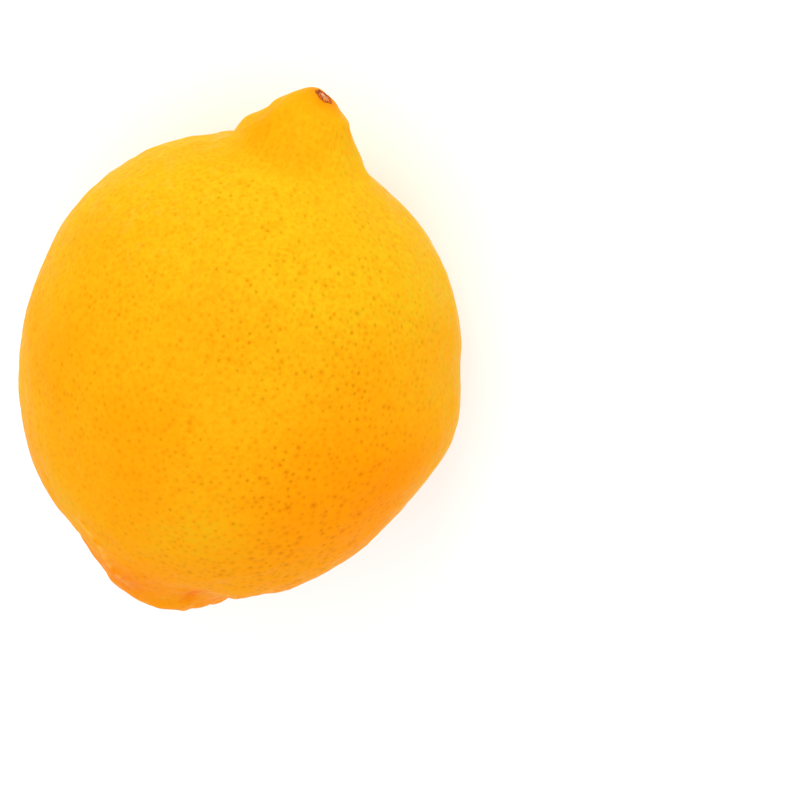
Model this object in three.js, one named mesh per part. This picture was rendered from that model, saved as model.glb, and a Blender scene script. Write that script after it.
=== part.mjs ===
// A lemon: one whole ripe fruit lying on its side, with the woody button of its stem.
// Millimetres, +Z up. The long axis runs along X, with the nipple at +X and the stem end at -X.
// The fruit rests on a small flat spot on its underside, in the plane z = 0, and the origin is
// under the middle of its box.
import * as THREE from "three";
import { mergeVertices } from "three/addons/utils/BufferGeometryUtils.js";

// ---- Driving dimensions of the fruit ----------------------------------------------------

// Four outlines of the fruit: how far its skin is from the core line on each side, at stations
// along the axis that are counted from the rim of the stem end.
const STATIONS = [4, 8.5, 15, 24, 35, 46, 56, 63.5, 68.2, 71, 74.5, 78.2, 80.2];
const REACH = {
  left: [14.8, 19.5, 25.7, 30.5, 33, 32.1, 28.6, 22.7, 16.4, 11, 8.1, 4.5, 2],
  right: [10.7, 18.9, 24.5, 29.4, 33.3, 31.4, 27.8, 21.5, 14.5, 10.4, 7.8, 5.9, 3.4],
  top: [13, 18.8, 24.9, 29.6, 32.3, 31.3, 27.8, 22, 15.2, 10.9, 8, 5.2, 2.4],
  bottom: [12.7, 18.7, 24.8, 29.7, 32.5, 31.4, 27.9, 21.7, 15, 10.1, 7.8, 5, 2.4],
};
// The basin that the button sits in, from its middle out over the rim, and the small crater
// that the style left on the tip, down to its middle. Both are round.
const STEM_BASIN = [[1.7, 0], [1.7, 2.6], [1.4, 3.9], [0.4, 5], [-0.4, 6.5], [0.4, 9]];
const STYLE_CRATER = [[80.6, 1.4], [80.5, 0.9], [80.1, 0.4], [80.1, 0]];

const BODY_OFFSET = 1.2; // the body's middle, off the line through the two ends
const NECK_LEAN = 2.7; // how much further the stem end leans the same way
const NECK_LENGTH = 8; // the lean fades over this length
const NIPPLE_BASE = 70.5; // station of the furrow round the nipple
const NIPPLE_LIFT = 1.4; // the nipple's tip rises this much out of line
const NIPPLE_LENGTH = 10.5;
const SCAR_SHIFT = 1.3; // the crater is this far right of the tip's middle
const SCAR_TURN = 24; // degrees that it faces to the right

const REST_SINK = 0.9; // the underside is flattened by this much where the fruit lies
const REST_PITCH = 2.5; // degrees, nose down, as the weight settles it

const MERIDIANS = 84;
// Rings along the fruit: [share of the outline's length where the band ends, rings in it].
const RING_BANDS = [[0.1, 11], [0.22, 7], [0.76, 23], [0.86, 7], [1, 17]];

// ---- Driving dimensions of the button ---------------------------------------------------

const BUTTON_GAP = 0.3; // clear of the basin all round
const BUTTON_LOBES = 5; // the dried sepals
const LOBE_SHARE = 0.14; // a lobe's tip reaches this share further out than the mean
// Its section, as [height over the basin's floor, radius, how fully the lobes show].
const BUTTON_SECTION = [
  [BUTTON_GAP, 0, 0], // underside
  [BUTTON_GAP, 2.4, 0],
  [0.5, 3.1, 0.5],
  [1, 3.6, 1], // edge of the lobes
  [1.3, 3.7, 1],
  [1.6, 3.2, 0.8],
  [1.7, 2.5, 0.3], // disc
  [1.7, 1.95, 0],
  [2.1, 1.65, 0], // stub of the fruit stalk
  [2.6, 1.5, 0],
  [2.8, 1.3, 0], // its cut face
  [2.75, 0, 0],
];
const BUTTON_MERIDIANS = 40;

const PEEL_YELLOW = 0xfcb916;
const STALK_OLIVE = 0x7a6a35;

// ---- Helpers ----------------------------------------------------------------------------

// 1 at the middle, falling smoothly to nothing some widths away.
const hump = (distance, width) => Math.exp(-((distance / width) ** 2));
// The same round the fruit, by the angle between two directions.
const humpRound = (angle, middle, width) => hump(2 * Math.sin((angle - middle) / 2), width);
// How much of the skin's turn towards the crater is felt at a station.
const byScar = (station) => hump(station - STYLE_CRATER[0][0], 1.7);

// A closed surface through rings of points, with one point at each end. pointAt(ring, angle)
// gives a point; the first and last ring are single points.
function closedSurface(rings, meridians, pointAt) {
  const points = [];
  const triangles = [];
  const last = rings - 1;
  const at = (ring, step) => {
    if (ring === 0) return 0;
    if (ring === last) return 1 + (last - 1) * meridians;
    return 1 + (ring - 1) * meridians + (step % meridians);
  };
  for (let ring = 0; ring <= last; ring++) {
    const steps = ring === 0 || ring === last ? 1 : meridians;
    for (let step = 0; step < steps; step++) {
      points.push(pointAt(ring, (step / meridians) * 2 * Math.PI));
    }
  }
  for (let ring = 0; ring < last; ring++) {
    for (let step = 0; step < meridians; step++) {
      const corners = [at(ring, step), at(ring, step + 1), at(ring + 1, step + 1), at(ring + 1, step)];
      if (ring > 0) triangles.push(corners[0], corners[1], corners[3]);
      if (ring < last - 1) triangles.push(corners[1], corners[2], corners[3]);
      else triangles[triangles.length - 1] = corners[2];
    }
  }
  return new THREE.BufferGeometry().setFromPoints(points).setIndex(triangles);
}

// ---- The fruit --------------------------------------------------------------------------

// The middle of the fruit's section at a station: the neck leans one way, the nipple lifts.
function coreAt(station) {
  const alongNipple = Math.max(0, station - NIPPLE_BASE) / NIPPLE_LENGTH;
  return new THREE.Vector3(
    station,
    BODY_OFFSET + NECK_LEAN * Math.exp(-station / NECK_LENGTH) - SCAR_SHIFT * byScar(station),
    NIPPLE_LIFT * alongNipple ** 2,
  );
}

function outline(reach) {
  const side = STATIONS.map((station, i) => [station, reach[i]]);
  const points = [...STEM_BASIN, ...side, ...STYLE_CRATER];
  const curve = new THREE.CatmullRomCurve3(points.map(([x, r]) => new THREE.Vector3(x, r, 0)));
  curve.arcLengthDivisions = 800;
  return curve;
}

// How far the skin stands out from, or in from, the smooth outlines.
function relief(station, angle) {
  const along = station / 10;
  const slowWaves =
    0.3 * Math.sin(2 * angle + 1.1 + 0.4 * along) * Math.sin(1.1 * along + 0.6) +
    0.22 * Math.sin(3 * angle - 0.9) * Math.sin(1.9 * along) +
    0.12 * Math.sin(7 * angle + 2.1 * along) * Math.sin(2.6 * along + 1);
  const dimples = 0.07 * Math.sin(13 * angle + 5 * along) * Math.sin(11 * along - 4 * angle);
  const onBody = hump(station - 38, 34);
  // Ribs that gather towards the stem, one deeper fold beside them and a knob on the neck's end.
  const ribs = 0.55 * Math.cos(BUTTON_LOBES * angle + 0.6) * hump(station - 6, 5);
  const fold = -0.5 * humpRound(angle, 0.5, 0.16) * hump(station - 5, 4);
  const knob = 0.8 * humpRound(angle, 0.8, 0.45) * hump(station - 0.5, 2.5);
  // The furrow round the nipple's base, deepest on the left, and folds up the nipple.
  const furrowDepth = 0.35 + 0.3 * Math.cos(angle);
  const furrow = -furrowDepth * hump(station - NIPPLE_BASE - 0.6 * Math.cos(angle), 1.3);
  const nippleFolds =
    0.14 * Math.cos(6 * angle + 0.8) * hump(station - 75, 3) +
    humpRound(angle, 0.15, 0.5) * (0.35 * hump(station - 73.9, 1) - 0.35 * hump(station - 75.9, 0.9));
  // Two swellings of the shoulder in front of the furrow.
  const shoulders =
    0.6 * humpRound(angle, 0.6, 0.22) * hump(station - 68.6, 1.6) +
    0.5 * humpRound(angle, 2.3, 0.3) * hump(station - 66.5, 2);
  return (slowWaves + dimples) * onBody + ribs + fold + knob + furrow + nippleFolds + shoulders;
}

function ringShares() {
  const shares = [0];
  let start = 0;
  for (const [end, rings] of RING_BANDS) {
    for (let i = 1; i <= rings; i++) shares.push(start + ((end - start) * i) / rings);
    start = end;
  }
  return shares;
}

function fruitGeometry() {
  const curves = Object.fromEntries(
    Object.entries(REACH).map(([side, reach]) => [side, outline(reach)]),
  );
  const shares = ringShares();
  const pointAt = (ring, angle) => {
    const cos = Math.cos(angle);
    const sin = Math.sin(angle);
    const flank = (cos > 0 ? curves.left : curves.right).getPointAt(shares[ring]);
    const ridge = (sin > 0 ? curves.top : curves.bottom).getPointAt(shares[ring]);
    // A quarter of an ellipse joins each outline to the next.
    const station = flank.x * cos ** 2 + ridge.x * sin ** 2;
    const reach = new THREE.Vector2(flank.y * cos, ridge.y * sin);
    const out = reach.clone().normalize().multiplyScalar(relief(station, angle));
    const turned = Math.tan(THREE.MathUtils.degToRad(SCAR_TURN)) * reach.x * byScar(station);
    return coreAt(station).add(new THREE.Vector3(turned, reach.x + out.x, reach.y + out.y));
  };
  return closedSurface(shares.length, MERIDIANS, pointAt);
}

// ---- The stem button --------------------------------------------------------------------

function buttonGeometry() {
  return closedSurface(BUTTON_SECTION.length, BUTTON_MERIDIANS, (ring, angle) => {
    const [height, radius, lobed] = BUTTON_SECTION[ring];
    const reach = radius * (1 + LOBE_SHARE * lobed * Math.cos(BUTTON_LOBES * angle));
    return new THREE.Vector3(height, reach * Math.cos(angle), reach * Math.sin(angle));
  });
}

// ---- The object -------------------------------------------------------------------------

function mesh(name, geometry, color, roughness) {
  const shaded = mergeVertices(geometry);
  shaded.computeVertexNormals();
  const made = new THREE.Mesh(
    shaded,
    new THREE.MeshStandardMaterial({ color, roughness, metalness: 0 }),
  );
  made.name = name;
  return made;
}

const lemon = new THREE.Group();
lemon.name = "lemon";

// The fruit is turned as its weight settles it, and let down until the flat spot is as deep as
// it should be. What is then below the table is pressed flat.
const pitch = new THREE.Matrix4().makeRotationY(THREE.MathUtils.degToRad(REST_PITCH));
const fruit = fruitGeometry().applyMatrix4(pitch);
fruit.computeBoundingBox();
const lift = -(fruit.boundingBox.min.z + REST_SINK);
fruit.translate(0, 0, lift);
const skin = fruit.getAttribute("position");
for (let i = 0; i < skin.count; i++) skin.setZ(i, Math.max(skin.getZ(i), 0));
lemon.add(mesh("fruit", fruit, PEEL_YELLOW, 0.4));

const button = mesh("stem_button", buttonGeometry(), STALK_OLIVE, 0.8);
button.position.copy(coreAt(STEM_BASIN[0][0]));
button.rotation.z = Math.PI;
button.applyMatrix4(pitch);
button.position.z += lift;
lemon.add(button);

const middle = new THREE.Box3().setFromObject(lemon, true).getCenter(new THREE.Vector3());
lemon.position.set(-middle.x, -middle.y, 0);

export default lemon;
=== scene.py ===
# %% [markdown]
# # A ripe lemon
#
# A lemon lies on its side on a pale table. Its skin is one living surface: a waxy yellow peel,
# pitted all over by oil glands, drawn out to a nipple at one end and to a short neck at the
# other. The nipple carries the dry scar where the flower's style fell off, and the neck holds
# the woody button of the stalk.
#
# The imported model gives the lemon's size and form as plain solids. This notebook grows a fine
# skin over them, and adds the finish, the light and the camera.

import math

import bpy
import numpy as np
from mathutils import Matrix, Vector, noise
from mathutils.bvhtree import BVHTree
from mathutils.kdtree import KDTree


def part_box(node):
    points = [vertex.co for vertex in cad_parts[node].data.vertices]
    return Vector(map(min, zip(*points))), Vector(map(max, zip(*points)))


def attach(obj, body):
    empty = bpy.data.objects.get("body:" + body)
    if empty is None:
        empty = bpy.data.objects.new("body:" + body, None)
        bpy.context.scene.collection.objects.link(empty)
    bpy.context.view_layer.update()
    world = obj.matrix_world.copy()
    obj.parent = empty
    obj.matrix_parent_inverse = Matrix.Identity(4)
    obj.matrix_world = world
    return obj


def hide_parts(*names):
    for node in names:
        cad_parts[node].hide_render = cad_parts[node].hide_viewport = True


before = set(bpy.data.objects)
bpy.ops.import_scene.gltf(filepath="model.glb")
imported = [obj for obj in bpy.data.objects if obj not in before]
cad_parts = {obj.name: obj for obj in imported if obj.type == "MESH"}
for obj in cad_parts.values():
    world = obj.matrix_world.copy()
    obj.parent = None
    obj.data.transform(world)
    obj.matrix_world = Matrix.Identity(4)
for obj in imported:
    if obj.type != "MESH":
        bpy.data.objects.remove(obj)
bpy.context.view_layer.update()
MM = 0.001

fruit_low, fruit_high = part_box("fruit")
button_low, button_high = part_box("stem_button")
fruit_size = (fruit_high - fruit_low) / MM
print("fruit, mm:", [round(v, 1) for v in fruit_size])


# %% [markdown]
# ## Small tools
#
# Paint charts and screens give colours as sRGB hex codes, while Blender's shaders work with
# linear light. One function turns the first into the second, so that every colour below can be
# read off and compared by eye. A second one adds a shader node with its settings and its links
# in one line, and a third leaves one object selected and active, which most operators need.


# %% Colour, node and selection helpers
def srgb(code):
    """A hex colour such as "ffb414" as the linear RGBA of a Blender socket."""
    shares = [int(code[i : i + 2], 16) / 255 for i in (0, 2, 4)]
    return [c / 12.92 if c <= 0.04045 else ((c + 0.055) / 1.055) ** 2.4 for c in shares] + [1.0]


def add_node(tree, kind, sockets=None, **settings):
    """A new shader node. A socket is given a value, or the output that feeds it."""
    made = tree.nodes.new(kind)
    for name, value in settings.items():
        setattr(made, name, value)
    for name, value in (sockets or {}).items():
        if isinstance(value, bpy.types.NodeSocket):
            tree.links.new(value, made.inputs[name])
        else:
            made.inputs[name].default_value = value
    return made


def select_only(piece):
    bpy.ops.object.select_all(action="DESELECT")
    piece.select_set(True)
    bpy.context.view_layer.objects.active = piece


def get_points(piece):
    points = np.empty(len(piece.data.vertices) * 3)
    piece.data.vertices.foreach_get("co", points)
    return points.reshape(-1, 3)


def set_points(piece, points):
    piece.data.vertices.foreach_set("co", np.asarray(points).ravel())
    piece.data.update()


# %% [markdown]
# ## A smooth guide for the skin
#
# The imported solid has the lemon's true form, but in flat facets about 2.5 mm wide, which a waxy
# skin would show as a net of glints. A copy of it is welded, its triangles are paired back into
# quads, and a Subdivision Surface rounds it. The copy only guides the skin and is deleted later.


# %% Round a copy of the solid
WELD_DISTANCE = 0.001 * MM


def smooth_copy(node, name, levels):
    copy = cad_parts[node].copy()
    copy.data = copy.data.copy()
    copy.name = name
    copy.parent = None
    bpy.context.scene.collection.objects.link(copy)
    select_only(copy)
    bpy.ops.object.mode_set(mode="EDIT")
    bpy.ops.mesh.select_all(action="SELECT")
    bpy.ops.mesh.remove_doubles(threshold=WELD_DISTANCE)
    bpy.ops.mesh.tris_convert_to_quads()
    bpy.ops.object.mode_set(mode="OBJECT")
    rounding = copy.modifiers.new("rounding", "SUBSURF")
    rounding.levels = rounding.render_levels = levels
    bpy.ops.object.modifier_apply(modifier=rounding.name)
    return copy


guide = smooth_copy("fruit", "skin_guide", 2)
print("guide:", len(guide.data.polygons), "faces")

# %% [markdown]
# ## Directions on the fruit
#
# Two ends fix everything on a lemon: the tip of the nipple, where the flower's style left a small
# crater, and the middle of the stem. The line between them is its axis, and the point halfway
# along is its heart, from which every part of the skin can be seen. So a direction from the
# heart names one place on the skin. The crater faces a little to one side, and the points that
# lie furthest that way are its rim.

# %% Axis and heart
SCAR_TURN = math.radians(24)
RIM_DEPTH = 0.4 * MM

guide_points = get_points(guide)
scar_outward = Vector((math.cos(SCAR_TURN), -math.sin(SCAR_TURN), 0))
outward_of = guide_points @ np.array(scar_outward)
scar_rim = guide_points[outward_of > outward_of.max() - RIM_DEPTH]
tip = Vector(scar_rim.mean(axis=0))
stem = (button_low + button_high) / 2
heart = (tip + stem) / 2
axis = (tip - stem).normalized()
to_fruit = axis.to_track_quat("X", "Z").to_matrix()
print("axis, mm:", round((tip - stem).length / MM, 1), "heart:", [round(v / MM, 1) for v in heart])

# %% [markdown]
# ## A fine skin
#
# The skin starts as an icosphere, because that has no poles and its points are equally far
# apart everywhere. Cutting each of its triangles into nine brings the points under half a
# millimetre apart, fine enough for pits and wrinkles to be real geometry.

# %% Cut an icosphere finer
bpy.ops.object.select_all(action="DESELECT")
bpy.ops.mesh.primitive_ico_sphere_add(subdivisions=6, radius=1)
skin = bpy.context.object
skin.name = "lemon_skin"
bpy.ops.object.mode_set(mode="EDIT")
bpy.ops.mesh.select_all(action="SELECT")
bpy.ops.mesh.subdivide(number_cuts=2)
bpy.ops.object.mode_set(mode="OBJECT")
print("skin faces:", len(skin.data.polygons))

# %% [markdown]
# The ball's points are even over a ball, but the fruit is longer than it is wide, so they
# would thin out towards its ends. Both surfaces are therefore measured from the nipple to the
# stem, and each point moves to where the same share of the skin has passed. The two ends, with
# the scar and the basin, count for more than their area, which gives them a finer mesh.

# %% Share the points out over the skin
TIP_REACH = 3.0 * MM
TIP_EXTRA = 9
STEM_REACH = 9.0 * MM
STEM_EXTRA = 1.5

face_middles = np.array([face.center for face in guide.data.polygons]) - np.array(heart)
face_shares = np.array([face.area for face in guide.data.polygons])
from_tip = np.linalg.norm(face_middles - np.array(tip - heart), axis=1)
from_stem = np.linalg.norm(face_middles - np.array(stem - heart), axis=1)
face_shares *= 1 + TIP_EXTRA * np.exp(-((from_tip / TIP_REACH) ** 2))
face_shares *= 1 + STEM_EXTRA * np.exp(-((from_stem / STEM_REACH) ** 2))
face_cosines = face_middles @ np.array(axis) / np.linalg.norm(face_middles, axis=1)
nipple_first = np.argsort(-face_cosines)
passed = np.cumsum(face_shares[nipple_first]) / face_shares.sum()

ball = get_points(skin)
ball /= np.linalg.norm(ball, axis=1, keepdims=True)
cosines = np.interp((1 - ball[:, 0]) / 2, passed, face_cosines[nipple_first])
around = np.arctan2(ball[:, 2], ball[:, 1])
sines = np.sqrt(1 - cosines**2)
directions = np.stack([cosines, sines * np.cos(around), sines * np.sin(around)], axis=1)
rays = directions @ np.array(to_fruit).T
print("directions from the heart:", len(rays))

# %% Wrap the ball onto the guide
tree = BVHTree.FromObject(guide, bpy.context.evaluated_depsgraph_get())
wrapped = np.array([tree.ray_cast(heart, Vector(ray))[0] for ray in rays])
set_points(skin, wrapped)
skin_area = sum(face.area for face in skin.data.polygons) / MM**2
print("skin, cm2:", round(skin_area / 100, 1))

# %% [markdown]
# Every point is then told where it lies on the fruit, in millimetres and degrees as seen from the
# heart. From these come the regions, each a soft share from 0 to 1, that grow differently: the
# nipple and the shoulder round it, the neck, and the flanks, which are smooth on one side towards
# the stem and coarse on the other.

# %% Where each point lies on the fruit
from_heart = (wrapped - np.array(heart)) / MM
along = from_heart @ np.array(axis)  # mm towards the nipple
across = wrapped[:, 1] / MM
turned = np.degrees(np.arctan2(from_heart[:, 2], from_heart[:, 1]))  # from the side up to the top
from_axis = np.hypot(from_heart[:, 1], from_heart[:, 2])
half_length = (tip - stem).length / 2 / MM
print("skin, mm along the axis:", round(along.min(), 1), "to", round(along.max(), 1))


# %% Fades, grain and patches
def fade(values, start, end):
    """0 before start, 1 past end, and a smooth rise between them; start may be the larger."""
    share = np.clip((values - start) / (end - start), 0, 1)
    return share * share * (3 - 2 * share)


def grain(size, seed=0.0, stretch=1.0):
    """Perlin noise from -1 to 1. Its lumps are size millimetres wide, times stretch along X."""
    scaled = wrapped / MM / size / (stretch, 1, 1) + seed
    return np.array([noise.noise(Vector(p)) for p in scaled])


def patch(middle, radius, peak):
    """A soft round spot on the skin, in millimetres."""
    away = np.linalg.norm(wrapped / MM - middle, axis=1)
    return peak * np.exp(-((away / radius) ** 2))


# %% Regions of the skin
to_tip = half_length - along  # mm
to_stem = half_length + along
from_button = np.linalg.norm(wrapped - np.array(stem), axis=1) / MM

on_nipple = fade(to_tip, 13, 9)
at_tip = fade(to_tip, 2.5, 1)
shoulder = fade(along, 2, 14) * fade(to_tip, 6, 14)  # a band round the foot of the nipple
left_shoulder = shoulder * fade(across, 2, 20)
right_shoulder = fade(along, 12, 22) * fade(across, -12, -19)
right_side = fade(across, 0, -20)
right_edge = fade(across, -20, -31)
smooth_flank = fade(along, 4, -26) * fade(across, -12, 14)
coarse_flank = fade(along, 4, -10) * fade(across, -2, -16)
on_neck = fade(to_stem, 14, 4)
in_basin = fade(from_button, 5.8, 4.4)  # where the button lies against the peel
for name, share in {"nipple": on_nipple, "neck": on_neck, "shoulder": shoulder}.items():
    print("share of the skin on the", name, round(share.mean(), 2))

# %% [markdown]
# ## Grow the oil glands
#
# A lemon's peel is dotted with oil glands a little over a millimetre apart. They sit neither in
# rows nor at random, because each one holds the next at a distance. So the skin's points are
# taken in random order, and each one that is still free becomes a gland and bars the points
# round it. Glands differ in depth and width. They are shallow where the peel is stretched
# smooth, which is on the nipple, on the shoulders beside it and on one flank towards the stem,
# and they are wide and deep on the other.

# %% Choose the points that are glands
KEPT_CLEAR = (0.72, 1.15)  # mm, the least and greatest distance that a gland holds

dice = np.random.default_rng(5)
point_tree = KDTree(len(wrapped))
for i, point in enumerate(wrapped):
    point_tree.insert(point, i)
point_tree.balance()

barred = np.zeros(len(wrapped), dtype=bool)
glands = []
for i in dice.permutation(len(wrapped)):
    if not barred[i]:
        glands.append(i)
        kept_clear = dice.uniform(*KEPT_CLEAR) * MM
        barred[[near for _, near, _ in point_tree.find_range(wrapped[i], kept_clear)]] = True
glands = np.array(glands)
print("glands:", len(glands))
hexagon_share = math.sin(math.radians(60))  # evenly spread points stand at a hexagon's corners
print("gland spacing, mm:", round(math.sqrt(skin_area / len(glands) / hexagon_share), 2))

# %% Depth and width of each gland
PIT_DEPTH = 0.17 * MM
PIT_WIDTH = (0.18, 0.38)  # mm, half widths
MEAN_STRENGTH, STRENGTH_SPREAD, LEAST_STRENGTH = 0.42, 0.2, 0.04

strength = np.clip(dice.normal(MEAN_STRENGTH, STRENGTH_SPREAD, len(glands)), LEAST_STRENGTH, 1)
strength *= 1 - 0.4 * on_nipple[glands]
strength *= 1 - 0.35 * smooth_flank[glands]
strength *= 1 - 0.2 * left_shoulder[glands]
strength *= 1 - 0.35 * right_shoulder[glands]
strength *= 1 + 0.2 * coarse_flank[glands]
strength *= 1 + (0.15 * right_side - 0.6 * right_edge)[glands]
strength *= 1 + 0.4 * grain(9, seed=3.3)[glands]
strength *= 1 - np.maximum(at_tip, in_basin)[glands]
widths = dice.uniform(*PIT_WIDTH, len(glands)) * MM * (1 + 0.25 * coarse_flank[glands])

gland_tree = KDTree(len(glands))
for i, point in enumerate(wrapped[glands]):
    gland_tree.insert(point, i)
gland_tree.balance()
nearest = [gland_tree.find(point)[1:] for point in wrapped]
own_gland = np.array([index for index, _ in nearest])
gland_off = np.array([off for _, off in nearest])
gland = strength[own_gland] * np.exp(-((gland_off / widths[own_gland]) ** 2))
print("mean pit depth, mm:", round(strength.mean() * PIT_DEPTH / MM, 3))

# %% [markdown]
# ## Relief of the peel
#
# Besides the pits, three things shape the peel, each by its own amount along the surface's
# normal: soft swellings some millimetres wide, a finer pebbling, and wrinkles. The wrinkles
# run round the shoulder and, the other way, up the neck. All are cuts through Perlin noise, a
# wrinkle being a place where the noise is close to zero. The peel by the nipple is also crinkled,
# and pale streaks along its crinkles are painted glints, a highlight laid into the colour.

# %% Swellings, pebbling and wrinkles
SWELLING = 0.17 * MM
FINE_SWELLING = 0.1 * MM
WRINKLE = 0.1 * MM
PEBBLE = 0.06 * MM
NECK_WRINKLE = 0.08 * MM
CRINKLE_GLINT = 0.12

wrinkles = 1 - np.abs(grain(5.5, seed=6.4, stretch=1 / 3.5)) * 2
crinkles = 1 - np.abs(grain(1.9, seed=5.2, stretch=1 / 1.6)) * 5
neck_wrinkles = 1 - np.abs(grain(4.5, seed=2.2, stretch=3)) * 3

relief = SWELLING * grain(6.5, seed=1.7) * (1 - 0.6 * at_tip)
relief += FINE_SWELLING * grain(2.8, seed=8.1) * (1 + on_neck + on_nipple - at_tip)
relief += PEBBLE * grain(1.7, seed=4.2) * (1 + 0.5 * coarse_flank)
relief += WRINKLE * wrinkles * shoulder * (0.35 + 0.65 * fade(across, -8, 16))
relief += NECK_WRINKLE * neck_wrinkles * on_neck
relief -= PIT_DEPTH * gland
# Painted glints: pale streaks along the crinkles by the nipple stand in for their highlights.
crinkle_glint_zone = fade(along, 11, 20) * fade(across, 3, 18) * fade(grain(2.1, seed=7.7), -0.1, 0.25)
glint_and_scuff = CRINKLE_GLINT * np.clip(crinkles, 0, 1) * crinkle_glint_zone
bruise_and_shade = np.zeros(len(wrapped))
print("pebbling and wrinkles, mm:", round(relief.min() / MM, 2), "to", round(relief.max() / MM, 2))

# %% [markdown]
# On the neck there are also a few single creases, where the young fruit lay against a twig. Each
# follows a line along the neck and wavers a little. Raised ones are pale on their crests, a
# painted highlight with some scuffing, and sunken ones are darkened orange as painted shade.

# %% Creases of the neck
# [turn of the crease round the fruit in degrees, how that drifts in degrees per mm, where it
# starts and ends in mm from the heart, height and half width in mm]; a hollow's height is negative
CREASES = [
    [50, -0.8, -24, -38, 0.35, 0.5],
    [102, 0.6, -31, -38, -0.4, 0.6],
    [-35, 0.5, -27, -38, 0.2, 0.7],
    [-110, -0.4, -29, -38, -0.4, 0.7],
]

CREASE_WAVER = 0.9  # mm
CREST_HIGHLIGHT_AND_SCUFF = 1.4
HOLLOW_SHADE = 0.5

for turn, drift, start, end, rise, half_width in CREASES:
    astray = (turned - turn - drift * (along - start) + 180) % 360 - 180  # degrees
    off_crest = np.radians(astray) * from_axis + CREASE_WAVER * grain(4, seed=turn)
    crease = fade(along, start, start - 4) * fade(along, end, end + 2)
    relief += rise * MM * crease * np.exp(-((off_crest / half_width) ** 2))
    if rise > 0:
        # Crest paleness: a painted highlight along the raised crest, partly scuffed wear.
        worn = fade(grain(1.3, seed=turn), -0.15, 0.25)
        crest = np.exp(-((off_crest / half_width / 1.6) ** 2))
        glint_and_scuff += CREST_HIGHLIGHT_AND_SCUFF * rise * crease * worn * crest
    else:
        # Painted shade: the hollow of a sunken crease is darkened towards orange.
        bruise_and_shade += HOLLOW_SHADE * crease * np.exp(-((off_crest / half_width / 2) ** 2))

# Past the crease on top, the end of the neck has sunk a little.
SUNK_DEPTH = 0.7 * MM

sunk = fade(turned, 98, 110) * fade(turned, 160, 130) * fade(along, -31, -37)
relief -= SUNK_DEPTH * sunk
relief *= 1 - in_basin
print("creases:", len(CREASES), "deepest or highest, mm:", max(abs(crease[4]) for crease in CREASES))

# %% [markdown]
# No fruit is quite regular. Single lumps and dents, each a soft round bump at its own place, give
# the nipple its knuckles, the neck its knobs and the body its flat and full places.

# %% Single lumps and dents
# [place on the skin in mm, its radius in mm, height in mm]; a dent's height is negative
NIPPLE_LUMPS = [
    [(28.4, 14, 24), 3, -0.35],  # the shoulder, where it meets the foot
    [(30, 11, 28), 3.5, -0.3],
    [(29.3, 11.5, 24), 1.8, 0.3],  # the foot's edge
    [(31.7, 10, 29.8), 1, 0.25],
    [(35.8, 6.8, 29.4), 1.3, -0.25],  # a knuckle half way up, between two dents
    [(37.7, 5.2, 29.7), 1.3, 0.2],
    [(36.6, -6.5, 30.3), 2.2, -0.25],
    [(29.3, -10.6, 25.5), 2.6, -0.45],  # the furrow, deepest on this side
    [(40.2, -1.4, 31.5), 3.2, 0.25],  # the tip swells round the scar
    [(40.3, -0.3, 29.4), 1.1, 0.25],  # the peel's lip, behind the scar
    [(39.6, -2.5, 30.1), 1.4, 0.25],
]
NECK_LUMPS = [
    [(-33, 17, 40), 6, -0.9],  # below the raised crease
    [(-31.1, 17.9, 42.3), 2.2, 0.35],
    [(-35.2, 14, 40.8), 2.2, -0.35],
    [(-39.5, 8.7, 41), 2.6, -0.35],
    [(-39.5, 3.4, 42), 2.2, 0.35],
    [(-39.6, -2, 40.6), 2.6, 0.25],
    [(-33.6, -8.5, 44.8), 2.4, 0.45],
    [(-32.1, -12.2, 44.9), 2.6, -0.35],
    [(-39.1, -6, 36.6), 1.6, -0.3],
]
BODY_LUMPS = [
    [(-12.3, 31.4, 39.3), 5, -0.15],
    [(9.9, 31.3, 31.4), 4, 0.25],
    [(23.9, 21.8, 26.1), 4, 0.25],
    [(-26, -22, 40.3), 6, -0.15],
]

relief += MM * sum(patch(*lump) for lump in NIPPLE_LUMPS + NECK_LUMPS + BODY_LUMPS)
print("lumps and dents:", len(NIPPLE_LUMPS + NECK_LUMPS + BODY_LUMPS))

# %% Move the skin out and in
normals = np.empty(len(wrapped) * 3)
skin.data.vertex_normals.foreach_get("vector", normals)
normals = normals.reshape(-1, 3)
relieved = wrapped + normals * relief[:, None]
relieved[:, 2] = np.maximum(relieved[:, 2], 0)  # the flat spot stays on the table
set_points(skin, relieved)
skin.data.shade_smooth()
print("relief, mm:", round(relief.min() / MM, 3), "to", round(relief.max() / MM, 3))

bpy.data.objects.remove(guide)

# %% [markdown]
# ## Ripeness, painted light and shade
#
# A lemon doesn't ripen evenly. It turns from a clear yellow to a warm orange yellow first at
# the stem end, and stays clearest on the shoulders round the nipple; on the top shoulder that
# clear yellow is lightened further as a painted highlight. Clouds of both lie in between. One
# flank is warmed to a deep orange as a painted shadow, and the furrow at the foot of the nipple
# as painted shade. The peel is bruised to orange round the scar, and the neck is darkened towards
# orange as painted shade, beside a fold, in its hollows and towards its end. Each share of colour
# is worked out for every point and stored with the skin, next to the glands and the pale painted
# glints and scuffs of the crinkles and crests, for the material to read.

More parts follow.
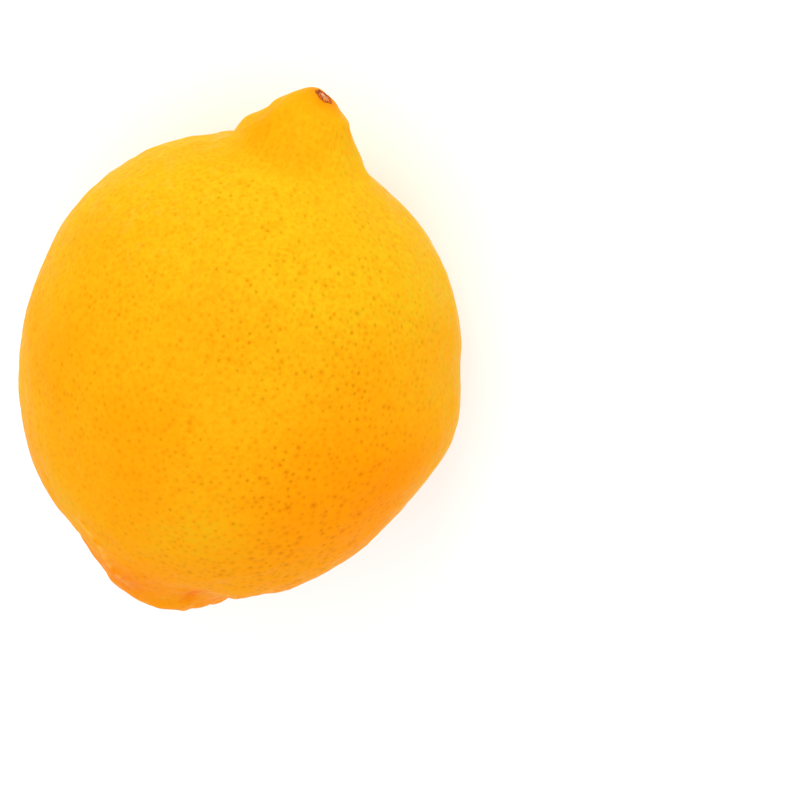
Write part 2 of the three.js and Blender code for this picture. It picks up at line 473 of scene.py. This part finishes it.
# %% Shares of colour, stored with the skin
# [place on the skin in mm, its radius in mm, how much warmer than the rest]
WARM_PATCHES = [
    [(10, 15, 57), 16, 0.3],  # clouds on the upper side
    # a clearer, lighter yellow on the top shoulder, partly painted highlight where the lamp falls
    [(28, -7, 44), 14, -0.5],
    [(32, -1, 40.5), 5, 0.35],  # the furrow at the foot of the nipple, painted shade; and warmer up to its tip
    [(34.7, 5.8, 36.7), 3.5, 0.3],
    [(36, 7, 33.5), 3, 0.2],
    [(39, 2.3, 34), 3.2, 0.3],
    [(-9, 30, 43), 13, -0.3],  # the flanks
    # painted shadow: this flank is warmed to a deep orange, as a shaded side would look
    [(-3, -23, 56), 15, 0.55],
    [(-21, -1, 59), 10, -0.35],  # clouds towards the neck
    [(-22, 20, 51), 7, -0.3],
    [(-6, -9, 63), 6, -0.2],
    [(16, 26, 43), 6, 0.2],
    [(1.5, 31, 44), 6, 0.2],
    [(-24, 3, 57.5), 6, -0.12],
]
# The same for a bruise round the scar and two spots of painted shade on the neck, with how far
# they reach towards full orange.
BRUISE_AND_SHADE_SPOTS = [[tip / MM, 2.7, 0.95], [(-35, 8, 46), 3.5, 0.5], [(-33.5, -2.9, 47.3), 2.5, 0.4]]

warm = 0.8 * fade(along, 26, -34) + 0.3 * fade(along, 24, 34) + 0.25 * grain(12, seed=9.4)
warm += sum(patch(*spot) for spot in WARM_PATCHES)
# Painted shade: towards the end of the neck, away from the lamp, the peel is darkened to orange.
bruise_and_shade += sum(patch(*spot) for spot in BRUISE_AND_SHADE_SPOTS) + 0.22 * fade(along, -30, -36)

marks = {"gland": gland, "glint_and_scuff": glint_and_scuff, "warm": warm, "bruise_and_shade": bruise_and_shade}
for name, share in marks.items():
    mark = skin.data.attributes.new(name, "FLOAT", "POINT")
    mark.data.foreach_set("value", np.clip(share, 0, 1))
    print("mean share of", name, round(np.clip(share, 0, 1).mean(), 3))

# %% [markdown]
# ## Lemon peel
#
# Peel is a thin wax over coloured cells over white pith. Light enters it, spreads about a
# millimetre and comes out warmer, so it takes subsurface scattering with red going furthest.
# The wax has the IOR of plant waxes, 1.45, and a roughness near 0.4. Its film is so thin and
# broken that the level of its gloss is set low. The colour runs from a clear yellow on the
# shoulders to a warm orange yellow at the stem end, and each gland is a darker dot.

# %% Ground colour of the peel
PEEL_YELLOW = srgb("d7a912")
PEEL_WARM = srgb("ec8900")
# Orange of the bruise round the scar and of the painted shade on the neck.
PEEL_BRUISE_AND_SHADE = srgb("e06a00")
# Pale colour of painted glints and highlights on crinkles and crests, partly scuffs.
PEEL_GLINT_AND_SCUFF = srgb("ecb45c")
GLAND_OIL_AND_SHADE = srgb("e2cb10")  # the oil's colour in a gland, together with painted shade in its pit
PEEL_SPECK = srgb("8a4a10")

peel = bpy.data.materials.new("waxy lemon peel")
peel.use_nodes = True
peel_tree = peel.node_tree
shader = peel_tree.nodes["Principled BSDF"]
place = add_node(peel_tree, "ShaderNodeTexCoord").outputs["Object"]
gland_mark, glint_and_scuff_mark, warm_mark, bruise_and_shade_mark = [
    add_node(peel_tree, "ShaderNodeAttribute", attribute_name=name).outputs["Fac"] for name in marks
]

# A Mix node for colours takes its share on socket 0 and its colours on 6 and 7, and gives the
# mixed colour on output 2.
A, B, MIXED = 6, 7, 2

ground = add_node(
    peel_tree,
    "ShaderNodeMix",
    {0: warm_mark, A: PEEL_YELLOW, B: PEEL_WARM},
    data_type="RGBA",
)
# Mixed towards orange: the bruise round the scar and the painted shade of the neck.
bruise_and_shade_mix = add_node(
    peel_tree,
    "ShaderNodeMix",
    {0: bruise_and_shade_mark, A: ground.outputs[MIXED], B: PEEL_BRUISE_AND_SHADE},
    data_type="RGBA",
)
print("the peel reads:", list(marks))

# %% [markdown]
# Between the glands the colour is never even. Fine mottling, half a millimetre wide, lays warmth
# over the ground, and clear curls run through it: painted highlights standing in for lit ridges,
# along the lines where a second, coarser noise is close to its middle value.

# %% Mottling, painted highlights and scuffs of the peel
MOTTLE_MM = 0.5
CURL_MM = 2.5
NOISE_MIDDLE = 0.5

mottle = add_node(
    peel_tree,
    "ShaderNodeTexNoise",
    {"Vector": place, "Scale": 1 / (MOTTLE_MM * MM), "Detail": 2.0},
)
mottle_share = add_node(
    peel_tree,
    "ShaderNodeMapRange",
    {"Value": mottle.outputs["Fac"], "From Min": 0.35, "From Max": 0.65, "To Min": 0.05, "To Max": 0.4},
)
curls = add_node(
    peel_tree,
    "ShaderNodeTexNoise",
    {"Vector": place, "Scale": 1 / (CURL_MM * MM), "Detail": 1.0, "Distortion": 0.5},
)
off_middle = add_node(
    peel_tree, "ShaderNodeMath", {0: curls.outputs["Fac"], 1: NOISE_MIDDLE}, operation="SUBTRACT"
)
off_curl = add_node(peel_tree, "ShaderNodeMath", {0: off_middle.outputs[0]}, operation="ABSOLUTE")
# Painted highlights: the curl lines are made clearer and lighter, standing in for lit ridges.
ridge_highlight_share = add_node(
    peel_tree,
    "ShaderNodeMapRange",
    {"Value": off_curl.outputs[0], "From Max": 0.09, "To Min": -0.22, "To Max": 0.03},
)
mottle_and_highlight_share = add_node(
    peel_tree,
    "ShaderNodeMath",
    {0: mottle_share.outputs[0], 1: ridge_highlight_share.outputs[0]},
    operation="ADD",
    use_clamp=True,
)
mottled = add_node(
    peel_tree,
    "ShaderNodeMix",
    {0: mottle_and_highlight_share.outputs[0], A: bruise_and_shade_mix.outputs[MIXED], B: PEEL_WARM},
    data_type="RGBA",
)
# Mixed in pale: painted glints and highlights on the crinkles and crests, partly scuffed wear.
glinted_and_scuffed_peel = add_node(
    peel_tree,
    "ShaderNodeMix",
    {0: glint_and_scuff_mark, A: mottled.outputs[MIXED], B: PEEL_GLINT_AND_SCUFF},
    data_type="RGBA",
)
print("mottling and curls, mm:", MOTTLE_MM, CURL_MM)

# %% [markdown]
# A gland shows as a dot about half a millimetre wide in the bottom of its pit. It multiplies the
# colour of the peel, as the oil in it filters the light twice, and it also holds painted shade for
# the bottom of the pit. A few brown specks, each some tenths of a millimetre wide, come from rubs
# on the tree: of the cells of a Voronoi pattern, one in twelve has a speck at its middle.

# %% Dots and specks of the peel
SPECK_CELL_MM = 7.7
SPECK_RADIUS = 0.03  # as a share of the cell
SPECK_CHANCE = 0.08

# Gland dots: the oil's colour and painted shade at the bottom of each pit.
dotted = add_node(
    peel_tree,
    "ShaderNodeMix",
    {0: gland_mark, A: glinted_and_scuffed_peel.outputs[MIXED], B: GLAND_OIL_AND_SHADE},
    data_type="RGBA",
    blend_type="MULTIPLY",
)

speck_cells = add_node(
    peel_tree, "ShaderNodeTexVoronoi", {"Vector": place, "Scale": 1 / (SPECK_CELL_MM * MM)}
)
speck_near = add_node(
    peel_tree,
    "ShaderNodeMath",
    {0: speck_cells.outputs["Distance"], 1: SPECK_RADIUS},
    operation="LESS_THAN",
)
speck_dice = add_node(peel_tree, "ShaderNodeSeparateColor", {"Color": speck_cells.outputs["Color"]})
speck_chosen = add_node(
    peel_tree,
    "ShaderNodeMath",
    {0: speck_dice.outputs["Red"], 1: SPECK_CHANCE},
    operation="LESS_THAN",
)
speck = add_node(
    peel_tree,
    "ShaderNodeMath",
    {0: speck_near.outputs[0], 1: speck_chosen.outputs[0]},
    operation="MULTIPLY",
)
specked = add_node(
    peel_tree,
    "ShaderNodeMix",
    {0: speck.outputs[0], A: dotted.outputs[MIXED], B: PEEL_SPECK},
    data_type="RGBA",
)
peel_tree.links.new(specked.outputs[MIXED], shader.inputs["Base Color"])
print("speck radius, mm:", round(SPECK_RADIUS * SPECK_CELL_MM, 2))

# %% [markdown]
# The wax is duller in patches some millimetres wide, where it was rubbed. Between the pits the
# peel is pebbled in lumps of 0.3 to 1 mm, too fine for the mesh, so a Bump node tilts its
# normals.

# %% Wax of the peel
RUB_MM = 3.3
PEBBLE_MM = 0.9
PEBBLE_DEPTH = 0.12 * MM

wax_rub = add_node(
    peel_tree,
    "ShaderNodeTexNoise",
    {"Vector": place, "Scale": 1 / (RUB_MM * MM), "Detail": 2.0},
)
wax = add_node(
    peel_tree,
    "ShaderNodeMapRange",
    {"Value": wax_rub.outputs["Fac"], "From Min": 0.3, "From Max": 0.7, "To Min": 0.34, "To Max": 0.5},
)
peel_tree.links.new(wax.outputs[0], shader.inputs["Roughness"])

pebbles = add_node(
    peel_tree,
    "ShaderNodeTexNoise",
    {"Vector": place, "Scale": 1 / (PEBBLE_MM * MM), "Detail": 3.0},
)
pebbled = add_node(
    peel_tree,
    "ShaderNodeBump",
    {"Height": pebbles.outputs["Fac"], "Strength": 0.6, "Distance": PEBBLE_DEPTH},
)
peel_tree.links.new(pebbled.outputs["Normal"], shader.inputs["Normal"])

shader.inputs["IOR"].default_value = 1.45
shader.inputs["Specular IOR Level"].default_value = 0.01
shader.inputs["Subsurface Weight"].default_value = 0.25
shader.inputs["Subsurface Radius"].default_value = (1.0, 0.45, 0.1)
shader.inputs["Subsurface Scale"].default_value = 1.2 * MM

skin.data.materials.clear()
skin.data.materials.append(peel)
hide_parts("fruit")
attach(skin, "root")
print("peel nodes:", len(peel_tree.nodes))

# %% [markdown]
# ## Scar of the style
#
# The flower's style dries and breaks off, and leaves a small corky scar in the crater at the
# tip. It is dead tissue: a torn brown lip round a paler, crumbly middle, about 3 mm across in
# all. The lip starts as a torus and the crumb as a ball pressed flat, and both are roughened by
# Displace modifiers, because torn cork has no smooth face.


# %% Model the scar
def roughen(piece, size, strength):
    """Breaks a surface up with cloud noise of that lump size, in metres."""
    lumps = bpy.data.textures.new(piece.name + "_lumps", "CLOUDS")
    lumps.noise_scale = size
    torn = piece.modifiers.new("torn", "DISPLACE")
    torn.texture = lumps
    torn.texture_coords = "LOCAL"
    torn.strength = strength
    select_only(piece)
    bpy.ops.object.modifier_apply(modifier=torn.name)


def put_in_place(piece, name, middle, outward, squash):
    """Turns a piece made at the origin so that its Z faces outward, and fixes it there."""
    piece.name = name
    turn = outward.to_track_quat("Z", "Y").to_matrix().to_4x4()
    piece.data.transform(Matrix.Translation(middle) @ turn @ Matrix.Diagonal((*squash, 1)))
    piece.data.shade_smooth()


LIP_RADIUS, LIP_THICKNESS = 1.25 * MM, 0.26 * MM
CRUMB_RADIUS = 0.88 * MM
SCAR_ASIDE, SCAR_UP, SCAR_OUT = 0.2, 0.3, 0.2  # mm, from the middle of the crater's rim

scar_aside = Vector((math.sin(SCAR_TURN), math.cos(SCAR_TURN), 0))
scar_shift = SCAR_ASIDE * scar_aside + Vector((0, 0, SCAR_UP)) + SCAR_OUT * scar_outward
scar_middle = tip + scar_shift * MM
bpy.ops.object.select_all(action="DESELECT")
bpy.ops.mesh.primitive_torus_add(
    major_radius=LIP_RADIUS, minor_radius=LIP_THICKNESS, major_segments=96, minor_segments=20
)
scar_lip = bpy.context.object
put_in_place(scar_lip, "scar_lip", scar_middle, scar_outward, (1, 1, 0.8))
roughen(scar_lip, 1.2 * MM, 0.9 * MM)
roughen(scar_lip, 0.4 * MM, 0.5 * MM)

bpy.ops.object.select_all(action="DESELECT")
bpy.ops.mesh.primitive_ico_sphere_add(subdivisions=5, radius=CRUMB_RADIUS)
scar_crumb = bpy.context.object
put_in_place(scar_crumb, "scar_crumb", scar_middle, scar_outward, (1, 1, 0.35))
roughen(scar_crumb, 0.3 * MM, 0.4 * MM)
print("scar faces:", len(scar_lip.data.polygons) + len(scar_crumb.data.polygons))

# %% [markdown]
# Cork and dried stalk are both dead plant tissue: matt, rough and brown, with a fibrous grain
# some tenths of a millimetre wide. One function makes the material for both, with the colours
# and the grain of the piece. Where the clippers went through the stalk, its pale pith shows, so
# the button's points carry a share called "cut". The scar has no such share and stays unmixed.


# %% Dry plant tissue material
PALE_PITH = srgb("b89a66")
RIDGE_DEPTH = 0.1 * MM


def dry_tissue(name, light, dark, grain_mm):
    """Dead plant tissue, from two sRGB hex colours and the width of its grain."""
    made = bpy.data.materials.new(name)
    made.use_nodes = True
    tissue = made.node_tree
    surface = tissue.nodes["Principled BSDF"]
    spot = add_node(tissue, "ShaderNodeTexCoord").outputs["Object"]
    fibre = add_node(
        tissue,
        "ShaderNodeTexNoise",
        {"Vector": spot, "Scale": 1 / (grain_mm * MM), "Detail": 4.0, "Roughness": 0.6},
    )
    share = add_node(
        tissue,
        "ShaderNodeMapRange",
        {"Value": fibre.outputs["Fac"], "From Min": 0.35, "From Max": 0.65},
    )
    dried = add_node(
        tissue,
        "ShaderNodeMix",
        {0: share.outputs[0], A: srgb(dark), B: srgb(light)},
        data_type="RGBA",
    )
    cut_mark = add_node(tissue, "ShaderNodeAttribute", attribute_name="cut").outputs["Fac"]
    colour = add_node(
        tissue,
        "ShaderNodeMix",
        {0: cut_mark, A: dried.outputs[MIXED], B: PALE_PITH},
        data_type="RGBA",
    )
    tissue.links.new(colour.outputs[MIXED], surface.inputs["Base Color"])
    ridges = add_node(
        tissue,
        "ShaderNodeBump",
        {"Height": fibre.outputs["Fac"], "Strength": 0.6, "Distance": RIDGE_DEPTH},
    )
    tissue.links.new(ridges.outputs["Normal"], surface.inputs["Normal"])
    surface.inputs["Roughness"].default_value = 0.85
    surface.inputs["IOR"].default_value = 1.4
    surface.inputs["Specular IOR Level"].default_value = 0.2
    return made


for piece, tissue_material in (
    (scar_lip, dry_tissue("torn brown cork", "c4641c", "66240a", 0.4)),
    (scar_crumb, dry_tissue("pale crumbly cork", "e8a878", "b0541c", 0.35)),
):
    piece.data.materials.append(tissue_material)
    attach(piece, "root")
    print(piece.name, "is made of", tissue_material.name)

# %% [markdown]
# ## Stem button
#
# The button is the dried calyx: five pointed lobes pressed against the peel, a raised disc and
# the stub of the stalk, cut clean with clippers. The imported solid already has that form, so a
# welded and rounded copy of it is enough, wrinkled by drying. The cut face shows the fibres of
# the stalk as fine rings.

# %% Model the button
CUT_RADIUS = 1.5  # mm, of the stalk's stub
STUB_START, STUB_FACE = 2.1, 2.5  # mm from the button's underside
RING_WIDTH = 0.45  # mm

button = smooth_copy("stem_button", "calyx_button", 3)
button_points = get_points(button) / MM
from_middle = np.linalg.norm((button_points - np.array(stem) / MM)[:, 1:], axis=1)
proud = button_high.x / MM - button_points[:, 0]
cut = fade(from_middle, CUT_RADIUS, 0.7 * CUT_RADIUS) * fade(proud, STUB_START, STUB_FACE)
cut_rings = 0.75 + 0.25 * np.cos(from_middle / RING_WIDTH * 2 * math.pi)
button.data.attributes.new("cut", "FLOAT", "POINT").data.foreach_set("value", cut * cut_rings)
roughen(button, 0.9 * MM, 0.3 * MM)
roughen(button, 0.35 * MM, 0.15 * MM)
button.data.shade_smooth()
button.data.materials.clear()
button.data.materials.append(dry_tissue("dried olive calyx", "86783c", "4e4420", 0.5))
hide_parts("stem_button")
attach(button, "root")
print("button faces:", len(button.data.polygons))

# %% [markdown]
# ## Table and light
#
# A pale matt table and soft light from nearly all round show a fruit as a shop would: bright,
# with no hard shadow. A white world gives the even part. A large square lamp, as a window or a
# softbox would be, stands past the nipple and gives the skin its gradient and its gloss.

# %% Table
TABLE_SIZE = 4  # m

bpy.ops.object.select_all(action="DESELECT")
bpy.ops.mesh.primitive_plane_add(size=TABLE_SIZE)
table = bpy.context.object
table.name = "table"
paper = bpy.data.materials.new("matt white paper")
paper.use_nodes = True
paper_shader = paper.node_tree.nodes["Principled BSDF"]
paper_shader.inputs["Base Color"].default_value = srgb("fafafa")
paper_shader.inputs["Roughness"].default_value = 0.9
table.data.materials.append(paper)
print("table, m:", TABLE_SIZE)

# %% Light
ROOM_STRENGTH = 1.2
LAMP_WATTS = 1.8
LAMP_SIZE = 0.35  # m
LAMP_FROM_HEART = Vector((0.5, 0.18, 0.5))

world = bpy.data.worlds.new("white room")
bpy.context.scene.world = world
world.use_nodes = True
world.node_tree.nodes["Background"].inputs["Color"].default_value = srgb("ffffff")
world.node_tree.nodes["Background"].inputs["Strength"].default_value = ROOM_STRENGTH

lamp_data = bpy.data.lights.new("softbox", "AREA")
lamp_data.energy = LAMP_WATTS
lamp_data.size = LAMP_SIZE
lamp = bpy.data.objects.new("softbox", lamp_data)
bpy.context.scene.collection.objects.link(lamp)
lamp.location = heart + LAMP_FROM_HEART
lamp.rotation_euler = (heart - lamp.location).to_track_quat("-Z", "Y").to_euler()
bpy.context.scene.view_settings.view_transform = "Standard"
print("softbox, m from the heart:", round(LAMP_FROM_HEART.length, 2))

# %% [markdown]
# ## Camera
#
# The camera looks down on the fruit from past the nipple's end, so that the nipple leans a
# little towards it. The picture's upper side is the nipple's, and the axis of the fruit leans
# 16 degrees to the right of the picture's upright. The fruit lies left of the middle. A long lens
# from far away keeps the near end from looking too large.

# %% Camera
LEAN_TO_CAMERA = math.radians(20.5)  # of the fruit's axis, out of the picture's plane
LEAN_IN_PICTURE = math.radians(15.7)  # of the fruit's axis, to the right of upright
PICTURE_PX = 800
FRUIT_PX_PER_MM = 6.74
FRUIT_AT_PX = (245, 349)  # where the middle of the axis falls
LENS = 150  # mm
SENSOR = 36  # mm

back = Vector((math.sin(LEAN_TO_CAMERA), 0, math.cos(LEAN_TO_CAMERA)))
axis_up = Vector((math.cos(LEAN_TO_CAMERA), 0, -math.sin(LEAN_TO_CAMERA)))
side = axis_up.cross(back)
up = math.cos(LEAN_IN_PICTURE) * axis_up - math.sin(LEAN_IN_PICTURE) * side
right = up.cross(back)
width = PICTURE_PX / FRUIT_PX_PER_MM * MM
distance = width * LENS / SENSOR
right_px = PICTURE_PX / 2 - FRUIT_AT_PX[0]
down_px = PICTURE_PX / 2 - FRUIT_AT_PX[1]
aim = heart + (right * right_px - up * down_px) / FRUIT_PX_PER_MM * MM

camera_data = bpy.data.cameras.new("camera")
camera_data.lens = LENS
camera_data.sensor_width = SENSOR
camera = bpy.data.objects.new("camera", camera_data)
bpy.context.scene.collection.objects.link(camera)
camera_turn = Matrix((right, up, back)).transposed().to_4x4()
camera.matrix_world = Matrix.Translation(aim + back * distance) @ camera_turn
bpy.context.scene.camera = camera
print("camera at, m:", [round(v, 3) for v in camera.matrix_world.translation])
